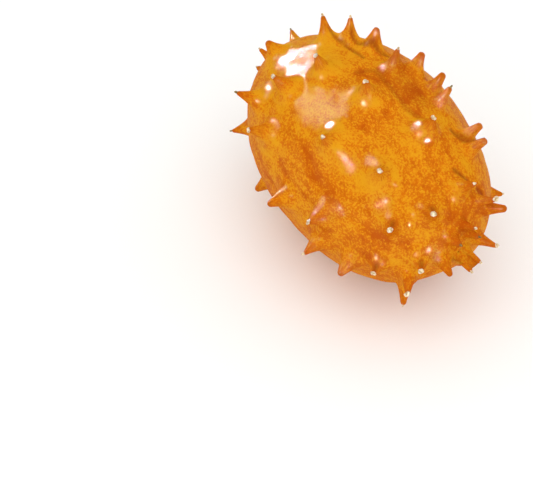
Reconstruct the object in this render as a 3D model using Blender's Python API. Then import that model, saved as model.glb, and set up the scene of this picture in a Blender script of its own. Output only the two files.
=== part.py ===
"""Horned melon (kiwano), whole, as picked, lying on the tips of its lowest horns.

The fruit grew as one piece, so it is one closed solid: an egg-shaped body, the
horns that rise from low mounds on it, and the short cut stalk at one end.

Frame: metres, +Z up, +X along the fruit towards its blossom end. The origin is
on the surface that the fruit lies on, under the middle of its outer box.
"""
import math

import bmesh
import bpy
import numpy as np
from mathutils import Vector, noise
from mathutils.geometry import delaunay_2d_cdt

MM = 0.001

# ---------------------------------------------------------------- dimensions, mm
BODY_LENGTH = 118.6        # stalk end to blossom end, without horns
BODY_WIDTH = 73.2          # across, without horns
BLOSSOM_FULLNESS = 0.012   # how much wider the blossom half is than the stalk half
REST_HEIGHT = 41.8         # middle of the body above the surface it lies on

MOUND_HEIGHT = 0.9         # swelling that each horn stands on
MOUND_RADIUS = 9.0
SWELL_HEIGHT = 0.4         # slow unevenness of the whole rind
SWELL_LENGTH = 26.0

HORN_FOOT = 8.8            # radius at which a lone horn has run out into the rind
HORN_FOOT_SHARE = 0.92     # the same between close neighbours, of the gap to the nearest
HORN_FLARE = 3.5           # how quickly the foot spreads; higher is a thinner horn
POINTED, MIDDLING, BLUNT = 0.8, 1.0, 1.3    # radius of the rounded tip

STALK_LENGTH = 7.0         # cut stalk, left on the fruit
STALK_RADIUS = 2.7
STALK_FOOT = 9.5
STALK_FLARE = 5.0
STALK_HOLLOW = 1.6         # dip in the rind round the stalk
STALK_HOLLOW_RADIUS = 13.0

# One row for each horn, from the stalk end to the blossom end.
# latitude: degrees from the waist, + towards the blossom end
# longitude: degrees round the fruit from its top, + over the -Y side
# height: mm above its mound
# lean: degrees towards the blossom end, and degrees towards + longitude
HORNS = (
    # lat   lon  height  lean     tip
    (-79,   96,  8.0, (0, 0), MIDDLING),
    (-77,   47,  8.2, (0, 0), POINTED),
    (-74,  -23,  8.0, (0, 0), POINTED),
    (-62, -150,  8.0, (0, 0), MIDDLING),
    (-60,  160,  8.0, (0, 0), POINTED),
    (-60,  -80,  7.5, (0, 0), MIDDLING),
    (-48,  115,  8.6, (0, 0), POINTED),
    (-46, -106,  8.0, (0, 0), MIDDLING),
    (-42,  -66,  6.0, (0, 0), POINTED),
    (-41, -148,  8.5, (0, 0), MIDDLING),
    (-38,  178,  6.5, (0, 0), BLUNT),
    (-36,  148,  8.0, (0, 0), POINTED),
    (-42,   31,  5.9, (0, 0), BLUNT),
    (-30,  -84,  7.5, (0, 0), MIDDLING),
    (-29, -122,  8.5, (0, 0), POINTED),
    (-27,    2,  9.6, (0, 0), POINTED),
    (-27,   60,  9.0, (0, 0), POINTED),
    (-27,  134,  8.0, (0, 0), BLUNT),
    (-22, -161, 10.4, (0, 0), BLUNT),
    (-21,   -8,  9.1, (0, 0), POINTED),
    (-20,  160,  9.9, (0, 0), BLUNT),
    (-15,   40,  8.7, (0, 0), MIDDLING),
    (-14, -103,  8.5, (0, 0), MIDDLING),
    (-14,  -80,  6.0, (0, 0), BLUNT),
    (-13, -141,  8.0, (0, 0), POINTED),
    (-12,  -14,  8.4, (0, 0), BLUNT),
    (-11,   66,  8.7, (0, 0), MIDDLING),
    (-9,    20,  7.8, (0, 0), MIDDLING),
    (-6,   156,  6.5, (0, 0), MIDDLING),
    (-4,  -174,  3.4, (0, 0), BLUNT),
    (-1,  -121,  8.0, (0, 0), POINTED),
    (2,    -12,  8.7, (0, 0), POINTED),
    (3,    -96,  7.0, (0, 0), POINTED),
    (4,    -24,  8.6, (0, 0), BLUNT),
    (7,   -145,  7.5, (0, 0), MIDDLING),
    (8,     88,  8.3, (0, 0), BLUNT),
    (11,    12,  7.1, (0, 0), BLUNT),
    (12,   168,  6.6, (0, 0), BLUNT),
    (14,  -117,  8.0, (0, 0), POINTED),
    (14,   -27,  8.6, (0, 0), BLUNT),
    (16,    42,  5.5, (0, 0), MIDDLING),
    (20,   -26,  8.2, (0, 0), MIDDLING),
    (22, -162,   9.8, (0, 0), BLUNT),
    (24, -136,   8.0, (0, 0), MIDDLING),
    (26,   100,  8.2, (0, 0), POINTED),
    (27,    79,  6.8, (0, 0), MIDDLING),
    (29,  -106,  8.6, (0, 0), POINTED),
    (32,    -5,  7.7, (0, 0), MIDDLING),
    (34,   -36,  8.2, (0, 0), BLUNT),
    (34,  -172,  4.8, (-10, 0), MIDDLING),
    (38,    33,  6.0, (0, 0), MIDDLING),
    (38,  -125,  4.8, (-15, 0), MIDDLING),
    (40,   -36,  8.2, (0, 0), BLUNT),
    (40,   104,  7.8, (0, 0), BLUNT),
    (42,  -150,  6.0, (-20, -10), POINTED),
    (53,    97,  5.2, (0, 0), MIDDLING),
    (54,    55,  7.2, (0, 0), MIDDLING),
    (57,   -15,  8.7, (0, 0), MIDDLING),
    (60,   131,  9.0, (0, 0), MIDDLING),
    (61,    25,  7.7, (0, 0), BLUNT),
    (62,   -38,  8.6, (0, 0), POINTED),
    (63,   -55,  8.9, (0, 0), BLUNT),
    (65,   113,  8.6, (0, 0), MIDDLING),
    (71,    86,  5.2, (0, 0), MIDDLING),
    (73,   -13,  7.7, (0, 0), POINTED),
    (76,   -73,  8.5, (0, 0), POINTED),
    (77,   -29,  6.4, (0, 0), MIDDLING),
    (78,    15,  6.7, (0, 0), MIDDLING),
    (82,    92,  8.2, (0, 0), MIDDLING),
    (85,   -76,  8.2, (0, 0), POINTED),
    (88,  -148,  8.1, (0, 0), POINTED),
)

# Skin drawn up between two neighbouring horns: from one foot, to the other, mm high
SADDLES = (
    ((-27, 2), (-21, -8), 1.2),
    ((-21, -8), (-12, -14), 1.0),
    ((2, -12), (4, -24), 1.5),
    ((4, -24), (14, -27), 1.8),
    ((34, -36), (40, -36), 1.2),
    ((60, 131), (65, 113), 2.6),
    ((-14, -103), (-14, -80), 1.2),
    ((24, -136), (14, -117), 1.2),
)
SADDLE_WIDTH = 4.0

# Raised (+) and flattened (-) places, the raised ones round single horns
SWELLINGS = (
    # lat, lon, radius and height in mm, how suddenly the edge falls away
    (10, 13, 9.5, 1.8, 4),
    (-9, 19, 7.5, 0.9, 2),
    (18, 40, 8.0, 1.4, 4),
    (38, 33, 8.0, 1.2, 4),
    (32, -5, 7.5, 1.0, 3),
    (27, 79, 6.5, 0.9, 3),
    (54, 55, 7.5, 1.0, 4),
    (61, 25, 7.5, 1.0, 4),
    (53, 93, 6.5, 0.8, 3),
    (70, 80, 6.0, 0.8, 3),
    (-5, 34, 7.5, -0.6, 2),
    (22, -52, 15.0, -1.0, 2),
    (62, 178, 10.0, -2.2, 2),
    (8, 104, 12.0, -0.9, 2),
)

# ---------------------------------------------------------------- mesh fineness, mm
HORN_RINGS = (0.75, 1.12, 1.7, 2.8, 4.6)    # radii of the rings of points on a horn
HORN_SIDES = 8
STALK_RINGS = (1.4, 2.6, 2.9, 3.6, 4.8)
STALK_SIDES = 12
RIND_SPACING = 4.4                          # between points on the rest of the rind


def empty_scene():
    """Remove whatever objects the file holds."""
    for old in list(bpy.data.objects):
        bpy.data.objects.remove(old, do_unlink=True)


# ---------------------------------------------------------------- shape of the fruit
HALF_SIZE = np.array((BODY_LENGTH, BODY_WIDTH, BODY_WIDTH)) / 2


def direction_at(latitude, longitude):
    """Unit direction for a place given in degrees."""
    lat, lon = np.radians(latitude), np.radians(longitude)
    waist = np.cos(lat)
    return np.stack((np.sin(lat), -waist * np.sin(lon), waist * np.cos(lon)), axis=-1)


def body_point(direction):
    """Point of the smooth egg-shaped body in a unit direction."""
    point = direction * HALF_SIZE
    point[..., 1:] *= 1 + BLOSSOM_FULLNESS * direction[..., :1]
    return point


def body_normal(point):
    """Outward normal of the smooth body."""
    normal = point / HALF_SIZE ** 2
    return normal / np.linalg.norm(normal, axis=-1, keepdims=True)


def horn_rise(radius, height, foot, tip):
    """Height of a horn's surface at a radius: a rounded cap on a hollow-sided cone."""
    steepness = math.atan(height * HORN_FLARE / (foot - tip))
    edge = tip * math.sin(steepness)
    shoulder = height - tip * (1 - math.cos(steepness))
    run_out = np.clip((foot - radius) / (foot - edge), 0, 1)
    cap = height - tip + np.sqrt(np.maximum(tip ** 2 - radius ** 2, 0))
    return np.where(radius < edge, cap, shoulder * run_out ** HORN_FLARE)


def stalk_rise(radius):
    """Height of the cut stalk's surface at a radius: flat-ended, on a spreading foot."""
    run_out = np.clip((STALK_FOOT - radius) / (STALK_FOOT - STALK_RADIUS), 0, 1)
    return STALK_LENGTH * run_out ** STALK_FLARE


class Horn:
    """A horn's place on the body, its size, and which way it leans."""

    def __init__(self, latitude, longitude, height, lean, tip):
        self.foot = body_point(direction_at(latitude, longitude))
        self.normal = body_normal(self.foot)
        around = np.cross(self.normal, (1.0, 0.0, 0.0))
        self.around = around / np.linalg.norm(around)
        self.forward = np.cross(self.around, self.normal)
        self.height = height
        self.tip = tip
        self.spread = HORN_FOOT
        forward_lean, around_lean = np.tan(np.radians(lean))
        self.lean = self.forward * forward_lean + self.around * around_lean

    def radius(self, points):
        """Distance of body points from the horn's axis."""
        away = points - self.foot
        rise = away @ self.normal
        across = away - rise[:, None] * self.normal
        return np.where(rise < -HORN_FOOT, np.inf, np.linalg.norm(across, axis=1))

    def push(self, radius):
        """How far the horn moves body points at these distances from its axis."""
        rise = horn_rise(radius, self.height, self.spread, self.tip)
        bend = rise ** 2 / self.height
        return rise[:, None] * self.normal + bend[:, None] * self.lean

    def ring_directions(self):
        """Directions of the horn's mesh points: its tip, then the rings round it."""
        places = [self.foot]
        for number, radius in enumerate(HORN_RINGS):
            for side in range(HORN_SIDES):
                turn = 2 * math.pi * (side + number % 2 / 2) / HORN_SIDES
                across = math.cos(turn) * self.forward + math.sin(turn) * self.around
                places.append(self.foot + radius * across)
        return unit(np.array(places) / HALF_SIZE)


def unit(vectors):
    """The same vectors at length 1."""
    return vectors / np.linalg.norm(vectors, axis=1, keepdims=True)


def make_horns():
    """All horns, each with a foot that leaves room for its nearest neighbour."""
    horns = [Horn(*row) for row in HORNS]
    for horn in horns:
        gaps = [np.linalg.norm(horn.foot - other.foot) for other in horns if other is not horn]
        horn.spread = min(HORN_FOOT, HORN_FOOT_SHARE * min(gaps))
    return horns


def swell(points):
    """Slow unevenness of the rind."""
    stretch = np.array((0.6, 1.0, 1.0)) / SWELL_LENGTH
    return SWELL_HEIGHT * np.array([2 * noise.noise(Vector(p)) for p in points * stretch])


def saddle(points, start, end, height):
    """Rise of the skin drawn up between two horns, nothing at their feet."""
    first, last = (body_point(direction_at(*place)) for place in (start, end))
    way = last - first
    part = np.clip((points - first) @ way / (way @ way), 0, 1)
    off = np.linalg.norm(points - first - part[:, None] * way, axis=1)
    return height * np.sin(math.pi * part) ** 2 * np.exp(-(off / SADDLE_WIDTH) ** 2)


def swelling(points, latitude, longitude, radius, height, edge):
    """Rise of the skin at a raised place, or drop at a flattened one."""
    middle = body_point(direction_at(latitude, longitude))
    return height * np.exp(-(np.linalg.norm(points - middle, axis=1) / radius) ** edge)


def from_stalk(points):
    """Distance of body points from the stalk's axis."""
    return np.where(points[:, 0] < 0, np.linalg.norm(points[:, 1:], axis=1), np.inf)


def rind(directions, horns):
    """Surface of the whole fruit in these directions, in mm about its middle."""
    base = body_point(directions)
    bare = np.ones(len(base))
    push = np.zeros_like(base)
    for horn in horns:
        radius = horn.radius(base)
        bare *= 1 - np.exp(-(radius / MOUND_RADIUS) ** 2)
        push += horn.push(radius)
    lift = MOUND_HEIGHT * (1 - bare) + swell(base)
    lift += sum(saddle(base, *row) for row in SADDLES)
    lift += sum(swelling(base, *row) for row in SWELLINGS)
    lift -= STALK_HOLLOW * np.exp(-(from_stalk(base) / STALK_HOLLOW_RADIUS) ** 2)
    push[:, 0] -= stalk_rise(from_stalk(base))
    surface = base + lift[:, None] * body_normal(base) + push
    surface[:, 2] = np.maximum(surface[:, 2], -REST_HEIGHT)    # tips pressed flat
    return surface


# ---------------------------------------------------------------- mesh of the fruit
def stalk_directions():
    """Directions of the stalk's mesh points: its centre, then the rings round it."""
    places = [(-HALF_SIZE[0], 0, 0)]
    for number, radius in enumerate(STALK_RINGS):
        back = -HALF_SIZE[0] * math.sqrt(1 - (radius / HALF_SIZE[1]) ** 2)
        for side in range(STALK_SIDES):
            turn = 2 * math.pi * (side + number % 2 / 2) / STALK_SIDES
            places.append((back, radius * math.cos(turn), radius * math.sin(turn)))
    return unit(np.array(places) / HALF_SIZE)


def even_directions():
    """Directions of points that lie evenly on the body, in rings along it."""
    fine = np.linspace(-90, 90, 2001)
    line = body_point(direction_at(fine, 0 * fine))
    run = np.concatenate(([0], np.cumsum(np.linalg.norm(np.diff(line, axis=0), axis=1))))
    rings = round(run[-1] / RIND_SPACING)
    found = []
    for number in range(1, rings):
        latitude = np.interp(run[-1] * number / rings, run, fine)
        girth = 2 * math.pi * HALF_SIZE[1] * math.cos(math.radians(latitude))
        count = max(3, round(girth / RIND_SPACING))
        longitudes = (np.arange(count) + number % 2 / 2) * 360 / count
        found.append(direction_at(np.full(count, latitude), longitudes))
    found.append(direction_at(np.array([90.0]), np.array([0.0])))
    return np.concatenate(found)


def mesh_directions(horns):
    """All mesh points as directions: rings on the stalk and horns, and an even rest."""
    parts = [stalk_directions()]
    for horn in horns:
        own = horn.ring_directions()
        points = body_point(own)
        nearest = np.min([other.radius(points) for other in horns if other is not horn], axis=0)
        parts.append(own[horn.radius(points) < nearest - 0.2])
    even = even_directions()
    points = body_point(even)
    margin = RIND_SPACING * 0.6
    clear = np.min([horn.radius(points) for horn in horns], axis=0) > HORN_RINGS[-1] + margin
    clear &= from_stalk(points) > STALK_RINGS[-1] + margin
    parts.append(even[clear])
    return np.concatenate(parts)


def triangles(directions):
    """Join points on a sphere, the first of them its -X pole, by Delaunay's rule."""
    flat = directions[1:, 1:] / (1 + directions[1:, :1])
    _, _, faces, origins, _, _ = delaunay_2d_cdt(flat.tolist(), [], [], 0, 1e-9, True)
    found = [tuple(origins[corner][0] + 1 for corner in face) for face in faces]
    sides = {(a, b) for face in found for a, b in zip(face, face[1:] + face[:1])}
    found += [(b, a, 0) for a, b in sides if (b, a) not in sides]
    return found


def make_melon():
    """The whole fruit as one closed solid."""
    horns = make_horns()
    directions = mesh_directions(horns)
    surface = rind(directions, horns)
    middle = (surface.min(axis=0) + surface.max(axis=0)) / 2
    surface -= (middle[0], middle[1], -REST_HEIGHT)
    bm = bmesh.new()
    corners = [bm.verts.new(point) for point in surface * MM]
    for face in triangles(directions):
        bm.faces.new([corners[number] for number in face])
    bmesh.ops.recalc_face_normals(bm, faces=bm.faces)
    mesh = bpy.data.meshes.new("melon")
    bm.to_mesh(mesh)
    bm.free()
    mesh.shade_smooth()
    melon = bpy.data.objects.new("melon", mesh)
    bpy.context.collection.objects.link(melon)
    return melon


def rind_material():
    """Ripe rind: orange, waxy, with a soft gloss."""
    material = bpy.data.materials.new("ripe_rind")
    material.use_nodes = True
    shader = material.node_tree.nodes["Principled BSDF"]
    shader.inputs["Base Color"].default_value = (0.73, 0.22, 0.012, 1)
    shader.inputs["Roughness"].default_value = 0.35
    shader.inputs["Metallic"].default_value = 0
    return material


empty_scene()
make_melon().data.materials.append(rind_material())
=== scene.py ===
"""Looks of the whole horned melon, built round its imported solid."""

import math

import bmesh
import bpy
import numpy as np
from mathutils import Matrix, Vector, noise
from mathutils.geometry import delaunay_2d_cdt


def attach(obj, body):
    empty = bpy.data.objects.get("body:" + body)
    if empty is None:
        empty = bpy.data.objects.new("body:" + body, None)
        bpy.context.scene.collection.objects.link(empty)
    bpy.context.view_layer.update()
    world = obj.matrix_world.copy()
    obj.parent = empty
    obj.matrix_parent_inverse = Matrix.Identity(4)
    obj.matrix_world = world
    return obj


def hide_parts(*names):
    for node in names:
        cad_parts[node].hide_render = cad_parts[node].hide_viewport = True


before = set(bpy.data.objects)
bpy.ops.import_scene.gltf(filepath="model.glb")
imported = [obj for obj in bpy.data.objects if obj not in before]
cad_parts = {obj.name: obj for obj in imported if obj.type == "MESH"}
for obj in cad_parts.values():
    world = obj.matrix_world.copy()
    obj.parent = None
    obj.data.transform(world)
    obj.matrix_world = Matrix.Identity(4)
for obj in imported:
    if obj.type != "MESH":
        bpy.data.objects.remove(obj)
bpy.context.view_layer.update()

# ================================================================ fruit: body and horns
# The fruit is one berry with a tough waxy rind. The body swells into a low mound under
# each horn, and the skin is drawn up the horn, so nothing here is joined or fixed: one
# skin runs from the cut stalk over the body and up to the dry point of every horn.
MM = 0.001

BODY_LENGTH = 118.6         # sizes in mm, as in the solid
BODY_WIDTH = 73.2
BLOSSOM_FULLNESS = 0.012
REST_HEIGHT = 41.8
MOUND_HEIGHT = 0.9
MOUND_RADIUS = 9.0
SWELL_HEIGHT = 0.4
SWELL_LENGTH = 26.0
SWELL_DRAWN_OUT = (0.6, 1.0, 1.0)               # the slow unevenness is longer along the fruit
HORN_FOOT = 8.8
HORN_FOOT_SHARE = 0.92
HORN_FLARE = 3.5
POINTED, MIDDLING, BLUNT = 0.8, 1.0, 1.3
STALK_LENGTH = 7.0
STALK_RADIUS = 2.7
STALK_FOOT = 9.5
STALK_FLARE = 5.0
STALK_HOLLOW = 1.6
STALK_HOLLOW_RADIUS = 13.0

# How the point of a horn has dried: to a pale corky knob, to a small bit, to a flat disc, to
# a thin dark bit, or hardly at all.
KNOB, BIT, DISC, DARK, BARE = "knob", "bit", "disc", "dark", "bare"

# latitude from the waist and longitude from the top, degrees; height over the mound, mm;
# lean towards the blossom end and round the fruit, degrees; roundness of the tip; its point
HORNS = (
    (-79,   96,  8.0, (0, 0), MIDDLING, BIT),
    (-77,   47,  8.2, (0, 0), POINTED, BIT),
    (-74,  -23,  8.0, (0, 0), POINTED, DARK),
    (-62, -150,  8.0, (0, 0), MIDDLING, KNOB),
    (-60,  160,  8.0, (0, 0), POINTED, BIT),
    (-60,  -80,  7.5, (0, 0), MIDDLING, KNOB),
    (-48,  115,  8.6, (0, 0), POINTED, DARK),
    (-46, -106,  8.0, (0, 0), MIDDLING, BIT),
    (-42,  -66,  6.0, (0, 0), POINTED, DARK),
    (-41, -148,  8.5, (0, 0), MIDDLING, BIT),
    (-38,  178,  6.5, (0, 0), BLUNT, KNOB),
    (-36,  148,  8.0, (0, 0), POINTED, BIT),
    (-42,   31,  5.9, (0, 0), BLUNT, BARE),
    (-30,  -84,  7.5, (0, 0), MIDDLING, KNOB),
    (-29, -122,  8.5, (0, 0), POINTED, BIT),
    (-27,    2,  9.6, (0, 0), POINTED, BIT),
    (-27,   60,  9.0, (0, 0), POINTED, DARK),
    (-27,  134,  8.0, (0, 0), BLUNT, BARE),
    (-22, -161, 10.4, (0, 0), BLUNT, BARE),
    (-21,   -8,  9.1, (0, 0), POINTED, BIT),
    (-20,  160,  9.9, (0, 0), BLUNT, BARE),
    (-15,   40,  8.7, (0, 0), MIDDLING, KNOB),
    (-14, -103,  8.5, (0, 0), MIDDLING, KNOB),
    (-14,  -80,  6.0, (0, 0), BLUNT, BIT),
    (-13, -141,  8.0, (0, 0), POINTED, BIT),
    (-12,  -14,  8.4, (0, 0), BLUNT, BARE),
    (-11,   66,  8.7, (0, 0), MIDDLING, KNOB),
    (-9,    20,  7.8, (0, 0), MIDDLING, KNOB),
    (-6,   156,  6.5, (0, 0), MIDDLING, BIT),
    (-4,  -174,  3.4, (0, 0), BLUNT, BARE),
    (-1,  -121,  8.0, (0, 0), POINTED, KNOB),
    (2,    -12,  8.7, (0, 0), POINTED, BIT),
    (3,    -96,  7.0, (0, 0), POINTED, BIT),
    (4,    -24,  8.6, (0, 0), BLUNT, BARE),
    (7,   -145,  7.5, (0, 0), MIDDLING, KNOB),
    (8,     88,  8.3, (0, 0), BLUNT, BARE),
    (11,    12,  7.1, (0, 0), BLUNT, KNOB),
    (12,   168,  6.6, (0, 0), BLUNT, BARE),
    (14,  -117,  8.0, (0, 0), POINTED, BIT),
    (14,   -27,  8.6, (0, 0), BLUNT, BARE),
    (16,    42,  5.5, (0, 0), MIDDLING, KNOB),
    (20,   -26,  8.2, (0, 0), MIDDLING, DARK),
    (22, -162,   9.8, (0, 0), BLUNT, BARE),
    (24, -136,   8.0, (0, 0), MIDDLING, KNOB),
    (26,   100,  8.2, (0, 0), POINTED, BIT),
    (27,    79,  6.8, (0, 0), MIDDLING, KNOB),
    (29,  -106,  8.6, (0, 0), POINTED, BIT),
    (32,    -5,  7.7, (0, 0), MIDDLING, KNOB),
    (34,   -36,  8.2, (0, 0), BLUNT, BARE),
    (34,  -172,  4.8, (-10, 0), MIDDLING, BIT),
    (38,    33,  6.0, (0, 0), MIDDLING, KNOB),
    (38,  -125,  4.8, (-15, 0), MIDDLING, BIT),
    (40,   -36,  8.2, (0, 0), BLUNT, BARE),
    (40,   104,  7.8, (0, 0), BLUNT, BARE),
    (42,  -150,  6.0, (-20, -10), POINTED, BIT),
    (53,    97,  5.2, (0, 0), MIDDLING, DISC),
    (54,    55,  7.2, (0, 0), MIDDLING, DISC),
    (57,   -15,  8.7, (0, 0), MIDDLING, BIT),
    (60,   131,  9.0, (0, 0), MIDDLING, BIT),
    (61,    25,  7.7, (0, 0), BLUNT, DISC),
    (62,   -38,  8.6, (0, 0), POINTED, KNOB),
    (63,   -55,  8.9, (0, 0), BLUNT, BARE),
    (65,   113,  8.6, (0, 0), MIDDLING, KNOB),
    (71,    86,  5.2, (0, 0), MIDDLING, DISC),
    (73,   -13,  7.7, (0, 0), POINTED, BIT),
    (76,   -73,  8.5, (0, 0), POINTED, KNOB),
    (77,   -29,  6.4, (0, 0), MIDDLING, DARK),
    (78,    15,  6.7, (0, 0), MIDDLING, DARK),
    (82,    92,  8.2, (0, 0), MIDDLING, BARE),
    (85,   -76,  8.2, (0, 0), POINTED, BIT),
    (88,  -148,  8.1, (0, 0), POINTED, BIT),
)
# skin drawn up between neighbouring horns: from one foot, to the other, height in mm
SADDLES = (
    ((-27, 2), (-21, -8), 1.2),
    ((-21, -8), (-12, -14), 1.0),
    ((2, -12), (4, -24), 1.5),
    ((4, -24), (14, -27), 1.8),
    ((34, -36), (40, -36), 1.2),
    ((60, 131), (65, 113), 2.6),
    ((-14, -103), (-14, -80), 1.2),
    ((24, -136), (14, -117), 1.2),
)
SADDLE_WIDTH = 4.0
# raised (+) and flattened (-) places: latitude, longitude, radius and height in mm, and how
# suddenly the edge falls away
SWELLINGS = (
    (10, 13, 9.5, 1.8, 4),
    (-9, 19, 7.5, 0.9, 2),
    (18, 40, 8.0, 1.4, 4),
    (38, 33, 8.0, 1.2, 4),
    (32, -5, 7.5, 1.0, 3),
    (27, 79, 6.5, 0.9, 3),
    (54, 55, 7.5, 1.0, 4),
    (61, 25, 7.5, 1.0, 4),
    (53, 93, 6.5, 0.8, 3),
    (70, 80, 6.0, 0.8, 3),
    (-5, 34, 7.5, -0.6, 2),
    (22, -52, 15.0, -1.0, 2),
    (62, 178, 10.0, -2.2, 2),
    (8, 104, 12.0, -0.9, 2),
)

HALF_SIZE = np.array((BODY_LENGTH, BODY_WIDTH, BODY_WIDTH)) / 2


def direction_at(latitude, longitude):
    """Unit direction for a place given in degrees."""
    lat, lon = np.radians(latitude), np.radians(longitude)
    waist = np.cos(lat)
    return np.stack((np.sin(lat), -waist * np.sin(lon), waist * np.cos(lon)), axis=-1)


def body_point(direction):
    """Point of the smooth egg-shaped body in a unit direction."""
    point = direction * HALF_SIZE
    point[..., 1:] *= 1 + BLOSSOM_FULLNESS * direction[..., :1]
    return point


def unit(vectors):
    """The same vectors at length 1."""
    return vectors / np.linalg.norm(vectors, axis=-1, keepdims=True)


def body_normal(point):
    """Outward normal of the smooth body."""
    return unit(point / HALF_SIZE ** 2)


def horn_rise(radius, height, foot, tip):
    """Height of a horn's skin at a radius: a rounded cap on a hollow-sided cone."""
    steepness = math.atan(height * HORN_FLARE / (foot - tip))
    edge = tip * math.sin(steepness)
    shoulder = height - tip * (1 - math.cos(steepness))
    run_out = np.clip((foot - radius) / (foot - edge), 0, 1)
    cap = height - tip + np.sqrt(np.maximum(tip ** 2 - radius ** 2, 0))
    return np.where(radius < edge, cap, shoulder * run_out ** HORN_FLARE)


def stalk_rise(radius):
    """Height of the cut stalk's skin at a radius: flat-ended, on a spreading foot."""
    run_out = np.clip((STALK_FOOT - radius) / (STALK_FOOT - STALK_RADIUS), 0, 1)
    return STALK_LENGTH * run_out ** STALK_FLARE


class Horn:
    """A horn's place on the body, its size, and which way it leans."""

    def __init__(self, latitude, longitude, height, lean, tip, point):
        self.foot = body_point(direction_at(latitude, longitude))
        self.normal = body_normal(self.foot)
        self.around = unit(np.cross(self.normal, (1.0, 0.0, 0.0)))
        self.forward = np.cross(self.around, self.normal)
        self.above = unit(np.array((0.0, 0.0, 1.0)) - self.normal[2] * self.normal)
        self.height = height
        self.tip = tip
        self.point = point
        self.spread = HORN_FOOT
        forward_lean, around_lean = np.tan(np.radians(lean))
        self.lean = self.forward * forward_lean + self.around * around_lean

    def across(self, points):
        """Offsets of body points from the horn's axis, and which of them are near it."""
        away = points - self.foot
        rise = away @ self.normal
        return away - rise[:, None] * self.normal, rise > -HORN_FOOT

    def radius(self, points):
        """Distance of body points from the horn's axis."""
        offset, near = self.across(points)
        return np.where(near, np.linalg.norm(offset, axis=1), np.inf)

    def push(self, rise):
        """How far the horn moves body points where it rises this much."""
        bend = rise ** 2 / self.height
        return rise[:, None] * self.normal + bend[:, None] * self.lean

    def ring(self, radius, sides, turned):
        """Directions of a ring of mesh points round the horn's axis."""
        turn = 2 * np.pi * (np.arange(sides) + turned) / sides
        offset = np.cos(turn)[:, None] * self.forward + np.sin(turn)[:, None] * self.around
        return unit((self.foot + radius * offset) / HALF_SIZE)


horns = [Horn(*row) for row in HORNS]
for horn in horns:
    gaps = [np.linalg.norm(horn.foot - other.foot) for other in horns if other is not horn]
    horn.spread = min(HORN_FOOT, HORN_FOOT_SHARE * min(gaps))


def noise_at(points, length, offset=0.0):
    """Smooth noise from about -1 to 1, with lumps this long in mm."""
    shifted = points / length + offset
    return np.array([2 * noise.noise(Vector(p)) for p in shifted])


def swell(points):
    """Slow unevenness of the rind."""
    return SWELL_HEIGHT * noise_at(points * SWELL_DRAWN_OUT, SWELL_LENGTH)


def saddle(points, start, end, height):
    """Rise of the skin drawn up between two horns, nothing at their feet."""
    first, last = (body_point(direction_at(*place)) for place in (start, end))
    way = last - first
    part = np.clip((points - first) @ way / (way @ way), 0, 1)
    off = np.linalg.norm(points - first - part[:, None] * way, axis=1)
    return height * np.sin(math.pi * part) ** 2 * np.exp(-(off / SADDLE_WIDTH) ** 2)


def spot(points, latitude, longitude, radius, edge=2):
    """1 at a place on the body, falling to 0 outside a radius in mm, the faster the edge."""
    middle = body_point(direction_at(latitude, longitude))
    return np.exp(-(np.linalg.norm(points - middle, axis=1) / radius) ** edge)


def from_stalk(points):
    """Distance of body points from the stalk's axis."""
    return np.where(points[:, 0] < 0, np.linalg.norm(points[:, 1:], axis=1), np.inf)


# Furrows between horns: places along each, width and depth in mm, how much deeper the rind
# has coloured in it, and how much painted shade darkens it, both from 0 to 1. The
# last is no furrow, only a broad place of painted shade on a band turned from the light.
FOLDS = (
    (((-25, 0), (-19, -2), (-12, -3), (-8, -4)), 0.8, 0.50, 0.5, 0.75),
    (((-19, -7), (-12, -9), (-8, -14), (-7, -20)), 0.8, 0.50, 0.5, 0.75),
    (((-22, 82), (-14, 86), (-6, 90), (0, 93)), 1.4, 0.30, 0.5, 0.1),
    (((-2, 5), (0, -4), (7, -3), (14, -4), (20, -4), (25, -6)), 1.8, 0.45, 0.4, 0.45),
    (((9, -20), (13, -19), (17, -19)), 1.4, 0.30, 0.5, 0.35),
    (((9, -26), (10, -34), (8, -45)), 1.0, 0.40, 0.4, 0.6),
    (((32, -27), (37, -32), (40, -42)), 1.2, 0.45, 0.5, 0.8),
    (((49, -16), (52, -22), (54, -28)), 1.1, 0.40, 0.5, 0.8),
    (((56, -42), (57, -49)), 1.0, 0.40, 0.5, 0.8),
    (((9, 25), (14, 28), (19, 24), (21, 16), (19, 8), (17, 3)), 2.0, 0.30, 0.6, 0.0),
    (((8, 54), (14, 59), (18, 65), (24, 66), (30, 66), (34, 69), (40, 70), (47, 72),
      (52, 71), (58, 69), (63, 66), (67, 60)), 1.7, 0.30, 0.5, 0.1),
    (((-3, 73), (2, 75), (8, 77), (13, 77), (17, 78)), 1.5, 0.25, 0.5, 0.0),
    (((22, 84), (27, 86), (32, 87)), 1.5, 0.25, 0.5, 0.1),
    (((28, 14), (34, 15), (39, 15), (44, 11), (48, 9)), 1.4, 0.15, 0.45, 0.0),
    (((36, -2), (44, 2), (50, 3), (55, 0), (60, 2), (66, 3)), 1.4, 0.20, 0.5, 0.0),
    (((22, 20), (27, 20), (31, 18)), 1.2, 0.12, 0.4, 0.0),
    (((-20, 53), (-15, 58), (-10, 62)), 1.6, 0.20, 0.5, 0.0),
    (((3, -12), (18, -15)), 8.0, 0.0, 0.1, 0.35),
)
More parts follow.
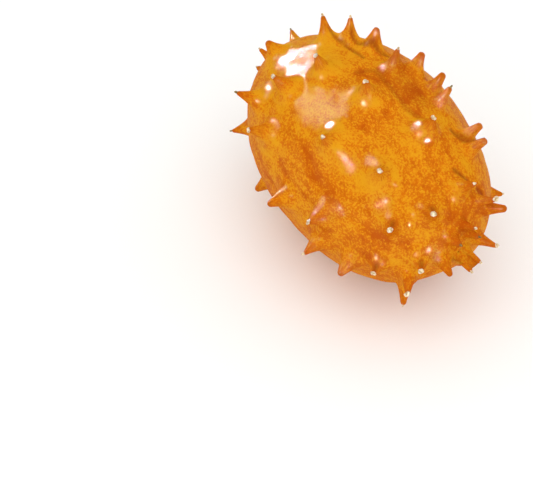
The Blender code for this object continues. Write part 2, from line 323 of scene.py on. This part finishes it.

# Places that ripened yellower (+) or deeper (-), and two of painted shade: latitude, longitude,
# radius in mm, how much
PATCHES = (
    (-20, 12, 6.0, 0.40), (-8, 17, 6.0, 0.35), (-14, 52, 5.0, 0.35), (3, 50, 5.0, 0.30),
    (12, 36, 6.0, 0.35), (14, 14, 7.5, 0.45), (24, 47, 7.0, 0.40), (39, 42, 6.0, 0.45),
    (40, 23, 5.0, 0.40), (55, 41, 5.0, 0.30), (67, 47, 5.0, 0.25), (60, 87, 5.0, 0.20),
    # (-1, 17) is a painted shadow of a horn in the hollow beside it; (10, -14) is painted shade
    # on a band turned away from the light
    (-1, 17, 3.2, -1.10), (1, 3, 4.0, -0.50), (10, -14, 12.0, -0.50), (36, -31, 6.0, -0.30),
    (-6, 46, 3.0, -0.40), (-11, 42, 4.0, -0.30), (76, 8, 8.0, -0.25), (77, -15, 5.0, -0.35),
    (46, 88, 5.0, -0.50), (50, 71, 5.0, -0.50), (21, 100, 4.0, -0.40), (51, -21, 4.0, -0.40),
    (57, -47, 4.0, -0.40), (8, 95, 4.0, -0.30), (46, 102, 9.0, -0.30), (62, -5, 9.0, -0.25),
)


def near_path(points, places):
    """Distance of body points from a path over the body, in mm."""
    stops = [body_point(direction_at(*place)) for place in places]
    nearest = np.full(len(points), np.inf)
    for first, last in zip(stops, stops[1:]):
        way = last - first
        part = np.clip((points - first) @ way / (way @ way), 0, 1)
        off = np.linalg.norm(points - first - part[:, None] * way, axis=1)
        nearest = np.minimum(nearest, off)
    return nearest


LUMPS = ((7.0, 0.20), (2.6, 0.02))              # uneven growth: length and height, mm
LUMPS_OFFSET = 3.1                              # keeps them unlike the slow unevenness
LUMPS_FADE = 3                                  # they die away up a horn
PUCKER_HEIGHT, PUCKERS = 0.16, 1.6              # fine folds that run up a horn: height, size
PUCKERS_ROUND, PUCKERS_UP = 3.0, 0.35           # how fast they change round it and up it
PUCKERS_TO, PUCKERS_FADE = 0.93, 6              # where they end on it, and how fast
PUCKERS_OFFSET = 17.0                           # keeps them unlike from horn to horn
DARK_SPOT_ABOVE, DARK_SPOT_RADIUS = 1.4, 1.1        # mm, a darker patch painted on a stubby horn's upper side
DARK_SPOT = 0.8
# Rind ripens yellow last at the blossom end and where it lies in shade, first on the mounds
MOUND_TONE, OPEN_TONE, BLOSSOM_TONE, SHADE_TONE = 0.5, 0.55, 0.3, 0.3
LIT_FROM = 0.7                                  # upward part of the direction, lit above this
FOLLOWS_HORN = 0.004                            # share of a horn's height where its folds begin
NEAR_AXIS = 0.05                                # mm, no folds closer to a horn's axis


def skin(directions):
    """The fruit's skin in these directions, mm about its middle, and what marks it."""
    base = body_point(directions)
    bare = np.ones(len(base))
    push = np.zeros_like(base)
    climb = np.zeros(len(base))
    # painted shade in the furrows and on the band turned from the light, and dark patches above
    # the disc points
    shade_and_dark_spots = np.zeros(len(base))
    grain = np.zeros_like(base)
    for number, horn in enumerate(horns):
        offset, near = horn.across(base)
        radius = np.where(near, np.linalg.norm(offset, axis=1), np.inf)
        bare *= 1 - np.exp(-(radius / MOUND_RADIUS) ** 2)
        rise = horn_rise(radius, horn.height, horn.spread, horn.tip)
        push += horn.push(rise)
        up = rise / horn.height
        # a darker patch is painted just above the point of each disc-tipped horn
        if horn.point == DISC:
            above = np.linalg.norm(offset - DARK_SPOT_ABOVE * horn.above, axis=1)
            shade_and_dark_spots = np.maximum(shade_and_dark_spots, DARK_SPOT * near * np.exp(-(above / DARK_SPOT_RADIUS) ** 2))
        mine = up > np.maximum(climb, FOLLOWS_HORN)
        climb = np.maximum(climb, up)
        outwards = offset[mine] / np.maximum(radius[mine], NEAR_AXIS)[:, None]
        upwards = PUCKERS_UP * rise[mine][:, None] * horn.normal
        grain[mine] = PUCKERS_ROUND * outwards + upwards + PUCKERS_OFFSET * number
    lift = MOUND_HEIGHT * (1 - bare) + swell(base)
    lift += sum(saddle(base, *row) for row in SADDLES)
    for latitude, longitude, radius, height, edge in SWELLINGS:
        lift += height * spot(base, latitude, longitude, radius, edge)
    lift -= STALK_HOLLOW * np.exp(-(from_stalk(base) / STALK_HOLLOW_RADIUS) ** 2)
    push[:, 0] -= stalk_rise(from_stalk(base))
    tone = MOUND_TONE * (OPEN_TONE - bare) - BLOSSOM_TONE * np.clip(directions[:, 0], 0, 1)
    tone -= SHADE_TONE * np.clip(LIT_FROM - directions[:, 2], 0, 1)
    for latitude, longitude, radius, change in PATCHES:
        tone += change * spot(base, latitude, longitude, radius)
    # a furrow's depth is carved into the skin, its deeper tone is the rind's own, and its last
    # number paints shade into it
    for places, width, depth, deeper, fold_shade in FOLDS:
        close = np.exp(-(near_path(base, places) / width) ** 2)
        lift -= depth * close
        tone -= deeper * close
        shade_and_dark_spots = np.maximum(shade_and_dark_spots, fold_shade * close)
    open_rind = (1 - climb) ** LUMPS_FADE
    for length, height in LUMPS:
        lift += height * noise_at(base, length, LUMPS_OFFSET) * open_rind
    flank = np.clip(climb * PUCKERS_FADE, 0, 1)
    flank *= np.clip((PUCKERS_TO - climb) * PUCKERS_FADE, 0, 1)
    lift += PUCKER_HEIGHT * noise_at(grain, PUCKERS) * flank
    surface = base + lift[:, None] * body_normal(base) + push
    surface[:, 2] = np.maximum(surface[:, 2], -REST_HEIGHT)     # tips pressed flat
    marks = {"climb": climb, "shade_and_dark_spots": shade_and_dark_spots, "tone": tone,
             "stalk": np.clip(stalk_rise(from_stalk(base)) / STALK_LENGTH, 0, 1),
             "cut": np.clip(1 - from_stalk(base) / STALK_RADIUS, 0, 1)}
    return surface, marks, grain


# ---- mesh: rings of points up each horn and the stalk, evenly spread points between them
RIND_SPACING = 0.85         # mm
CAP_RADIUS = 2.4            # up to here a horn has rings of its own, joined one by one
CAP_STEP = 0.55             # mm along the flank from ring to ring
SIDES = 20
SKIRT = ((3.0, 20), (3.7, 24))                  # rings outside the cap: radius, sides
STALK_CAP = 3.4
STALK_SKIRT = (4.0, 4.7)
STALK_SIDES = 30
APART = 0.25                # least gap between one horn's ring points and a nearer horn
CLEAR = 0.55                # least gap between the rings and the evenly spread points


def cap_radii(rise_at, outer):
    """Radii of rings that lie evenly along a flank, from the tip out to the last."""
    fine = np.linspace(0.0, outer, 400)
    rise = rise_at(fine)
    run = np.concatenate(([0], np.cumsum(np.hypot(np.diff(fine), np.diff(rise)))))
    count = round(run[-1] / CAP_STEP)
    return np.interp(np.linspace(0, run[-1], count + 1)[1:], run, fine)


def even_directions():
    """Directions of points that lie evenly on the body, in rings along it."""
    fine = np.linspace(-90, 90, 4001)
    line = body_point(direction_at(fine, 0 * fine))
    run = np.concatenate(([0], np.cumsum(np.linalg.norm(np.diff(line, axis=0), axis=1))))
    rings = round(run[-1] / RIND_SPACING)
    found = []
    for number in range(1, rings):
        latitude = np.interp(run[-1] * number / rings, run, fine)
        girth = 2 * math.pi * HALF_SIZE[1] * math.cos(math.radians(latitude))
        count = max(3, round(girth / RIND_SPACING))
        longitudes = (np.arange(count) + number % 2 / 2) * 360 / count
        found.append(direction_at(np.full(count, latitude), longitudes))
    return np.concatenate(found)


def stalk_ring(radius, turned):
    """Directions of a ring of mesh points round the stalk."""
    back = -HALF_SIZE[0] * math.sqrt(1 - (radius / HALF_SIZE[1]) ** 2)
    turn = 2 * np.pi * (np.arange(STALK_SIDES) + turned) / STALK_SIDES
    places = np.stack((np.full(STALK_SIDES, back), radius * np.cos(turn),
                       radius * np.sin(turn)), axis=1)
    return unit(places / HALF_SIZE)


def make_mesh():
    """Directions of all mesh points and the faces that join them."""
    groups, faces, rims = [], [], []
    total = 0

    def take(directions):
        """Take up some mesh points and say which numbers they get."""
        nonlocal total
        groups.append(directions)
        total += len(directions)
        return list(range(total - len(directions), total))

    def cap(middle, rings):
        """A closed cap: a middle point and rings of points round it."""
        tip = take(middle)[0]
        numbers = [take(ring) for ring in rings]
        inner = numbers[0]
        for a, b in zip(inner, inner[1:] + inner[:1]):
            faces.append((tip, a, b))
        for near, far in zip(numbers, numbers[1:]):
            for a, b, c, d in zip(near, near[1:] + near[:1], far[1:] + far[:1], far):
                faces.append((a, d, c, b))
        rims.append(set(numbers[-1]))
        return numbers[-1]

    outline = []                    # points that the loose part of the mesh has to join
    for horn in horns:
        radii = cap_radii(lambda r, h=horn: horn_rise(r, h.height, h.spread, h.tip), CAP_RADIUS)
        rings = [horn.ring(radius, SIDES, 0.0) for radius in radii]
        outline += cap(unit(horn.foot / HALF_SIZE)[None], rings)
    radii = cap_radii(stalk_rise, STALK_CAP)
    outline += cap(np.array([(-1.0, 0.0, 0.0)]), [stalk_ring(radius, 0.0) for radius in radii])

    for horn in horns:
        for step, (radius, sides) in enumerate(SKIRT):
            ring = horn.ring(radius, sides, 0.5 * (step + 1))
            points = body_point(ring)
            nearest = np.min([o.radius(points) for o in horns if o is not horn], axis=0)
            outline += take(ring[radius < nearest - APART])
    for step, radius in enumerate(STALK_SKIRT):
        outline += take(stalk_ring(radius, 0.5 * (step + 1)))
    even = even_directions()
    points = body_point(even)
    clear = np.min([horn.radius(points) for horn in horns], axis=0) > SKIRT[-1][0] + CLEAR
    clear &= from_stalk(points) > STALK_SKIRT[-1] + CLEAR
    outline += take(even[clear])

    directions = np.concatenate(groups)
    chosen = directions[outline]
    flat = chosen[:, 1:] / (1 + chosen[:, :1])      # opened out from the stalk's hole
    _, _, loose, origins, _, _ = delaunay_2d_cdt(flat.tolist(), [], [], 0, 1e-9, True)
    owner = {number: group for group, rim in enumerate(rims) for number in rim}
    for face in loose:
        corners = [outline[origins[corner][0]] for corner in face]
        met = {owner.get(corner) for corner in corners}
        if None in met or len(met) > 1:             # not inside a cap's own hole
            faces.append(corners)
    return directions, faces


directions, faces = make_mesh()
surface, marks, grain = skin(directions)
middle = (surface.min(axis=0) + surface.max(axis=0)) / 2
SHIFT = np.array((-middle[0], -middle[1], REST_HEIGHT))      # to the row's frame

# The stalk is ribbed, and fibres stand out of its cut end.
STALK_RIBS, STALK_RIB_HEIGHT = 5, 0.05          # height as a share of the radius
STALK_ROUGH, STALK_FIBRES = 0.35, 0.9           # height and size of the fibres, mm
STALK_SUNK = 0.5                                # how far the pith between them has sunk
STALK_END = 0.9                                 # share of its length where the cut end begins
ribs = STALK_RIB_HEIGHT * np.cos(STALK_RIBS * np.arctan2(surface[:, 2], surface[:, 1]))
surface[:, 1:] *= 1 + (ribs * marks["stalk"])[:, None]
torn = STALK_ROUGH * (noise_at(surface, STALK_FIBRES) + STALK_SUNK)
surface[:, 0] += torn * (marks["stalk"] > STALK_END)


def make_object(name, points, faces):
    """A smooth mesh object from points in mm about the fruit's middle."""
    mesh = bpy.data.meshes.new(name)
    mesh.from_pydata(((points + SHIFT) * MM).tolist(), [], faces)
    mesh.validate()
    mesh.shade_smooth()
    made = bpy.data.objects.new(name, mesh)
    bpy.context.collection.objects.link(made)
    return made


def outward(made):
    """Turn all faces of a closed mesh outwards."""
    bm = bmesh.new()
    bm.from_mesh(made.data)
    bmesh.ops.recalc_face_normals(bm, faces=bm.faces)
    bm.to_mesh(made.data)
    bm.free()


rind = make_object("melon_rind", surface, faces)
outward(rind)
for name, values in marks.items():
    rind.data.attributes.new(name, "FLOAT", "POINT").data.foreach_set("value", values)
rind.data.attributes.new("grain", "FLOAT_VECTOR", "POINT").data.foreach_set(
    "vector", grain.ravel())
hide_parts("melon")
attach(rind, "root")


# ---- ripe rind: waxed plant skin over firm flesh. It is glossy where the wax is whole, its
# fine specks of yellow stand a hair proud of the orange, and light sinks in a little. The
# stalk has no wax: it is dull, brown and fibrous, and paler where it was cut.
def linear(code):
    """Linear colour from an sRGB hex value."""
    parts = [int(code[i:i + 2], 16) / 255 for i in (1, 3, 5)]
    return tuple(p / 12.92 if p <= 0.04045 else ((p + 0.055) / 1.055) ** 2.4
                 for p in parts) + (1.0,)


def add(tree, kind, inputs=(), **settings):
    """Add a node with its settings; inputs are (name or number, value or socket) pairs."""
    made = tree.nodes.new("ShaderNode" + kind)
    for name, value in settings.items():
        setattr(made, name, value)
    for key, value in dict(inputs).items():
        if isinstance(value, bpy.types.NodeSocket):
            tree.links.new(value, made.inputs[key])
        else:
            made.inputs[key].default_value = value
    return made


def new_material(name):
    """A new material, its tree and its Principled shader."""
    material = bpy.data.materials.new(name)
    material.use_nodes = True
    return material, material.node_tree, material.node_tree.nodes["Principled BSDF"]


YELLOW = linear("#DA9819")
ORANGE = linear("#CE6E0E")
DEEP = linear("#BA560C")
TIP_BROWN = linear("#A84E12")
SHADE_AND_SPOT_BROWN = linear("#864010")
STALK_BROWN = linear("#94713C")
FIBRE_BROWN = linear("#563E1C")
CUT_PITH = linear("#CDB07A")
# Lengths in mm. The real specks are about 0.3 mm; they are drawn coarser, because finer ones
# would not show at this size.
SPECK = 0.72
MOTTLE = 3.0                # clusters of specks
PATCH = 12.0                # slow patches
RIPPLE = 1.5                # uneven wax
RIPPLE_HEIGHT, SPECK_HEIGHT = 0.03, 0.07        # these break up the edges of the highlights
DRAWN_OUT = (0.6, 1.0, 1.0)                     # clusters are longer along the fruit
SPECKS_RIPEN = 0.45         # how much ripeness decides which specks turn yellow
STREAK_SCALE = 1.6          # deeper streaks up a horn, in the measure of its puckers
FIBRE = 0.6                 # woody fibres of the stalk
FIBRES_ALONG = (0.12, 1.0, 1.0)
FIBRE_HEIGHT = 0.14
WAX = 0.09                  # strength of the coat of wax

ripe_rind, tree, shader = new_material("ripe_rind_waxed")
place = add(tree, "TexCoord").outputs["Object"]
drawn_out = add(tree, "VectorMath", {0: place, 1: DRAWN_OUT}, operation="MULTIPLY")
specks = add(tree, "TexNoise", {"Vector": place, "Scale": 1 / (SPECK * MM), "Detail": 2.0,
                                "Roughness": 0.5, "Distortion": 0.5})
mottle = add(tree, "TexNoise", {"Vector": drawn_out.outputs[0], "Scale": 1 / (MOTTLE * MM),
                                "Detail": 2.0, "Roughness": 0.6, "Distortion": 0.5})
patches = add(tree, "TexNoise", {"Vector": drawn_out.outputs[0], "Scale": 1 / (PATCH * MM),
                                 "Detail": 2.0})
marked = {name: add(tree, "Attribute", attribute_name=name).outputs["Fac"] for name in marks}
along_horn = add(tree, "Attribute", attribute_name="grain").outputs["Vector"]
streaks = add(tree, "TexNoise", {"Vector": along_horn, "Scale": STREAK_SCALE, "Detail": 2.0})
flank = add(tree, "MapRange", {"Value": marked["climb"], "From Min": 0.12, "From Max": 0.45})
streaked = add(tree, "Math", {0: streaks.outputs[0], 1: flank.outputs[0]},
               operation="MULTIPLY").outputs[0]
along_stalk = add(tree, "VectorMath", {0: place, 1: FIBRES_ALONG}, operation="MULTIPLY")
fibres = add(tree, "TexNoise", {"Vector": along_stalk.outputs[0], "Scale": 1 / (FIBRE * MM),
                                "Detail": 2.0})
woody = add(tree, "MapRange", {"Value": marked["stalk"], "From Min": 0.20, "From Max": 0.60})
fibrous = add(tree, "Math", {0: fibres.outputs[0], 1: woody.outputs[0]},
              operation="MULTIPLY").outputs[0]
# The clusters, the slow patches and the places set above make up ripeness together.
ripeness = 0.0
for source, share in ((mottle.outputs[0], 0.8), (patches.outputs[0], 0.7),
                      (marked["tone"], 0.30)):
    ripeness = add(tree, "Math", {0: source, 1: share, 2: ripeness},
                   operation="MULTIPLY_ADD").outputs[0]
speckled = add(tree, "Math", {0: ripeness, 1: SPECKS_RIPEN, 2: specks.outputs[0]},
               operation="MULTIPLY_ADD").outputs[0]
# What each layer follows, where it starts and is whole, its strength and its colour
LAYERS = (
    (ripeness, 0.73, 0.37, 1.0, DEEP),
    (ripeness, 0.78, 1.02, 0.7, YELLOW),
    (speckled, 0.72, 0.94, 0.85, YELLOW),
    (marked["climb"], 0.35, 0.95, 0.50, DEEP),
    (streaked, 0.42, 0.64, 0.7, DEEP),
    (marked["climb"], 0.82, 1.00, 0.7, TIP_BROWN),
    # brown of the painted furrow shade and band shade, and of the dark patches above the disc
    # points
    (marked["shade_and_dark_spots"], 0.15, 1.00, 0.85, SHADE_AND_SPOT_BROWN),
    (woody.outputs[0], 0.0, 1.0, 0.95, STALK_BROWN),
    (marked["cut"], 0.10, 0.25, 0.9, CUT_PITH),
    (fibrous, 0.45, 0.65, 0.7, FIBRE_BROWN),
)
colour = ORANGE
for source, start, whole, strength, tint in LAYERS:
    share = add(tree, "MapRange", {"Value": source, "From Min": start, "From Max": whole,
                                   "To Max": strength})
    colour = add(tree, "Mix", {0: share.outputs[0], 6: colour, 7: tint},
                 data_type="RGBA").outputs[2]
tree.links.new(colour, shader.inputs["Base Color"])
ripples = add(tree, "TexNoise", {"Vector": place, "Scale": 1 / (RIPPLE * MM), "Detail": 1.0})
bump = add(tree, "Bump", {"Height": ripples.outputs[0], "Distance": RIPPLE_HEIGHT * MM})
bump = add(tree, "Bump", {"Height": specks.outputs[0], "Distance": SPECK_HEIGHT * MM,
                          "Normal": bump.outputs[0]})
bump = add(tree, "Bump", {"Height": fibrous, "Distance": FIBRE_HEIGHT * MM,
                          "Normal": bump.outputs[0]})
tree.links.new(bump.outputs[0], shader.inputs["Normal"])
tree.links.new(bump.outputs[0], shader.inputs["Coat Normal"])
# All the gloss is the wax's, and the skin below it is dull.
shader.inputs["Roughness"].default_value = 0.45
shader.inputs["IOR"].default_value = 1.45
shader.inputs["Specular IOR Level"].default_value = 0.0
waxed = add(tree, "MapRange", {"Value": woody.outputs[0], "To Min": WAX, "To Max": 0.0})
tree.links.new(waxed.outputs[0], shader.inputs["Coat Weight"])
shader.inputs["Coat Roughness"].default_value = 0.05
shader.inputs["Coat IOR"].default_value = 1.45
shader.inputs["Subsurface Weight"].default_value = 0.12
shader.inputs["Subsurface Radius"].default_value = (1.0, 0.35, 0.08)
shader.inputs["Subsurface Scale"].default_value = 1.2 * MM
rind.data.materials.append(ripe_rind)

# ================================================================ dried horn points
# The flower-like soft point of each horn dries after picking and leaves a pale corky knob,
# a small bit or a thin dark one. It grew there, so it sits sunk in the end of the horn.
POINT_SHAPES = {            # width, length beyond the tip and noise height, mm
    KNOB: (1.5, 0.7, 0.36),
    BIT: (0.9, 0.8, 0.20),
    DISC: (1.9, 0.45, 0.20),
    DARK: (0.8, 1.1, 0.12),
}
POINT_RINGS, POINT_SIDES = 9, 14
POINT_LUMPS = 0.9           # size of their lumps, mm
POINT_FULLNESS = 0.8        # below 1, fuller than a ball


def dried_point(horn, width, length, rough):
    """Mesh points and faces of one dried point, mm about the fruit's middle."""
    tip = skin(unit(horn.foot / HALF_SIZE)[None])[0][0]
    points = [tip + length * horn.normal]
    for ring in range(1, POINT_RINGS):
        angle = math.pi * ring / POINT_RINGS
        radius = width / 2 * math.sin(angle) ** POINT_FULLNESS
        along = length * math.cos(angle)
        for side in range(POINT_SIDES):
            turn = 2 * math.pi * side / POINT_SIDES
            out = math.cos(turn) * horn.forward + math.sin(turn) * horn.around
            points.append(tip + radius * out + along * horn.normal)
    points.append(tip - length * horn.normal)
    points = np.array(points)
    points += rough * noise_at(points, POINT_LUMPS)[:, None] * unit(points - tip)
    last = len(points) - 1
    faces = []
    for side in range(POINT_SIDES):
        after = (side + 1) % POINT_SIDES
        faces.append((0, 1 + side, 1 + after))
        for ring in range(POINT_RINGS - 2):
            a, b = 1 + ring * POINT_SIDES, 1 + (ring + 1) * POINT_SIDES
            faces.append((a + side, b + side, b + after, a + after))
        end = 1 + (POINT_RINGS - 2) * POINT_SIDES
        faces.append((end + side, last, end + after))
    return points, faces


def make_points(name, kinds):
    """One object with the dried points of these kinds."""
    points, faces, total = [], [], 0
    for horn in horns:
        if horn.point in kinds:
            own, own_faces = dried_point(horn, *POINT_SHAPES[horn.point])
            points.append(own)
            faces += [tuple(total + corner for corner in face) for face in own_faces]
            total += len(own)
    made = make_object(name, np.concatenate(points), faces)
    outward(made)
    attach(made, "root")
    return made


pale_points = make_points("horn_points_pale", (KNOB, BIT, DISC))
dark_points = make_points("horn_points_dark", (DARK,))
# Dried tissue is dull and blotched: cream to tan, or dark where it has withered thin.
for made, name, low, high in (
        (pale_points, "dried_horn_point_pale", "#B08C5A", "#F4E6C8"),
        (dark_points, "dried_horn_point_dark", "#5E4A2C", "#A08C58")):
    material, tree, shader = new_material(name)
    place = add(tree, "TexCoord").outputs["Object"]
    mottle = add(tree, "TexNoise", {"Vector": place, "Scale": 1 / (POINT_LUMPS * MM),
                                    "Detail": 2.0})
    share = add(tree, "MapRange", {"Value": mottle.outputs[0], "From Min": 0.35,
                                   "From Max": 0.65})
    colour = add(tree, "Mix", {0: share.outputs[0], 6: linear(low), 7: linear(high)},
                 data_type="RGBA")
    tree.links.new(colour.outputs[2], shader.inputs["Base Color"])
    shader.inputs["Roughness"].default_value = 0.6
    shader.inputs["Specular IOR Level"].default_value = 0.0
    made.data.materials.append(material)

# ================================================================ camera, floor and light
# Seen from above at a slant, as a fruit on a white table beside a window is. The room and the
# ceiling panel light it; the window, the panel beside and the small lamps show in its gloss.
LOOK_ROUND, LOOK_DOWN = 56.7, 40.0              # degrees round from -Y, and above the floor
CAMERA_AWAY = 0.54                              # metres from the fruit's middle
AIM = (2.52, -41.85, -26.36)                    # mm from the fruit's middle

turn, down = math.radians(LOOK_ROUND), math.radians(LOOK_DOWN)
fruit_middle = Vector(SHIFT * MM)
back = Vector((math.sin(turn) * math.cos(down), -math.cos(turn) * math.cos(down), math.sin(down)))
camera = bpy.data.objects.new("camera", bpy.data.cameras.new("camera"))
camera.data.lens = 100
camera.data.sensor_width = 36
camera.location = fruit_middle + CAMERA_AWAY * back
look = fruit_middle + Vector(AIM) * MM - camera.location
camera.rotation_euler = look.to_track_quat("-Z", "Y").to_euler()
bpy.context.collection.objects.link(camera)
bpy.context.scene.camera = camera
bpy.context.scene.view_settings.view_transform = "Standard"

floor_mesh = bpy.data.meshes.new("floor")
FLOOR_REACH = 3.0
floor_mesh.from_pydata([(x * FLOOR_REACH, y * FLOOR_REACH, 0)
                        for x, y in ((-1, -1), (1, -1), (1, 1), (-1, 1))], [], [(0, 1, 2, 3)])
floor = bpy.data.objects.new("floor", floor_mesh)
bpy.context.collection.objects.link(floor)
# A matt white table top: nothing is mirrored in it.
material, tree, shader = new_material("white_table_top")
shader.inputs["Base Color"].default_value = linear("#FAFAF8")
shader.inputs["Roughness"].default_value = 0.8
shader.inputs["Specular IOR Level"].default_value = 0.0
floor_mesh.materials.append(material)

world = bpy.data.worlds.new("studio")
bpy.context.scene.world = world
world.use_nodes = True
sky = world.node_tree.nodes["Background"]
sky.inputs["Color"].default_value = (1, 1, 1, 1)
sky.inputs["Strength"].default_value = 0.86
world.cycles_visibility.glossy = False
LAMP_AWAY = 1.2                                 # metres from the fruit


def softbox(name, round_from_camera, above, width, height, brightness, diffuse, glossy,
            tint="#FFFFFF"):
    """A lamp: degrees round from the camera, above the floor and across, its brightness, and
    whether it lights surfaces and whether it shows in their gloss."""
    lamp = bpy.data.objects.new(name, bpy.data.lights.new(name, "AREA"))
    lamp.data.shape = "RECTANGLE"
    lamp.data.size = LAMP_AWAY * math.radians(width)
    lamp.data.size_y = LAMP_AWAY * math.radians(height)
    lamp.data.energy = brightness * math.pi * lamp.data.size * lamp.data.size_y
    a, b = math.radians(LOOK_ROUND + round_from_camera), math.radians(above)
    way = Vector((math.sin(a) * math.cos(b), -math.cos(a) * math.cos(b), math.sin(b)))
    lamp.location = fruit_middle + LAMP_AWAY * way
    lamp.rotation_euler = (-way).to_track_quat("-Z", "Y").to_euler()
    lamp.data.color = linear(tint)[:3]
    lamp.visible_camera = False
    lamp.visible_diffuse = diffuse
    lamp.visible_glossy = glossy
    bpy.context.collection.objects.link(lamp)


softbox("ceiling_panel", 0, 52, 75, 55, 1.3, True, False)
softbox("window_behind", -138, 17, 9, 9.5, 800, False, True)
softbox("window_behind_right", -151, 13, 5, 8, 200, False, True)
softbox("panel_beside", -108, 35, 24, 20, 44, False, True, "#D0FFE0")
softbox("small_lamp_beside", -35, 24, 3, 3, 6000, False, True)
softbox("small_lamp_in_front", 35, 12, 3, 3, 6000, False, True)
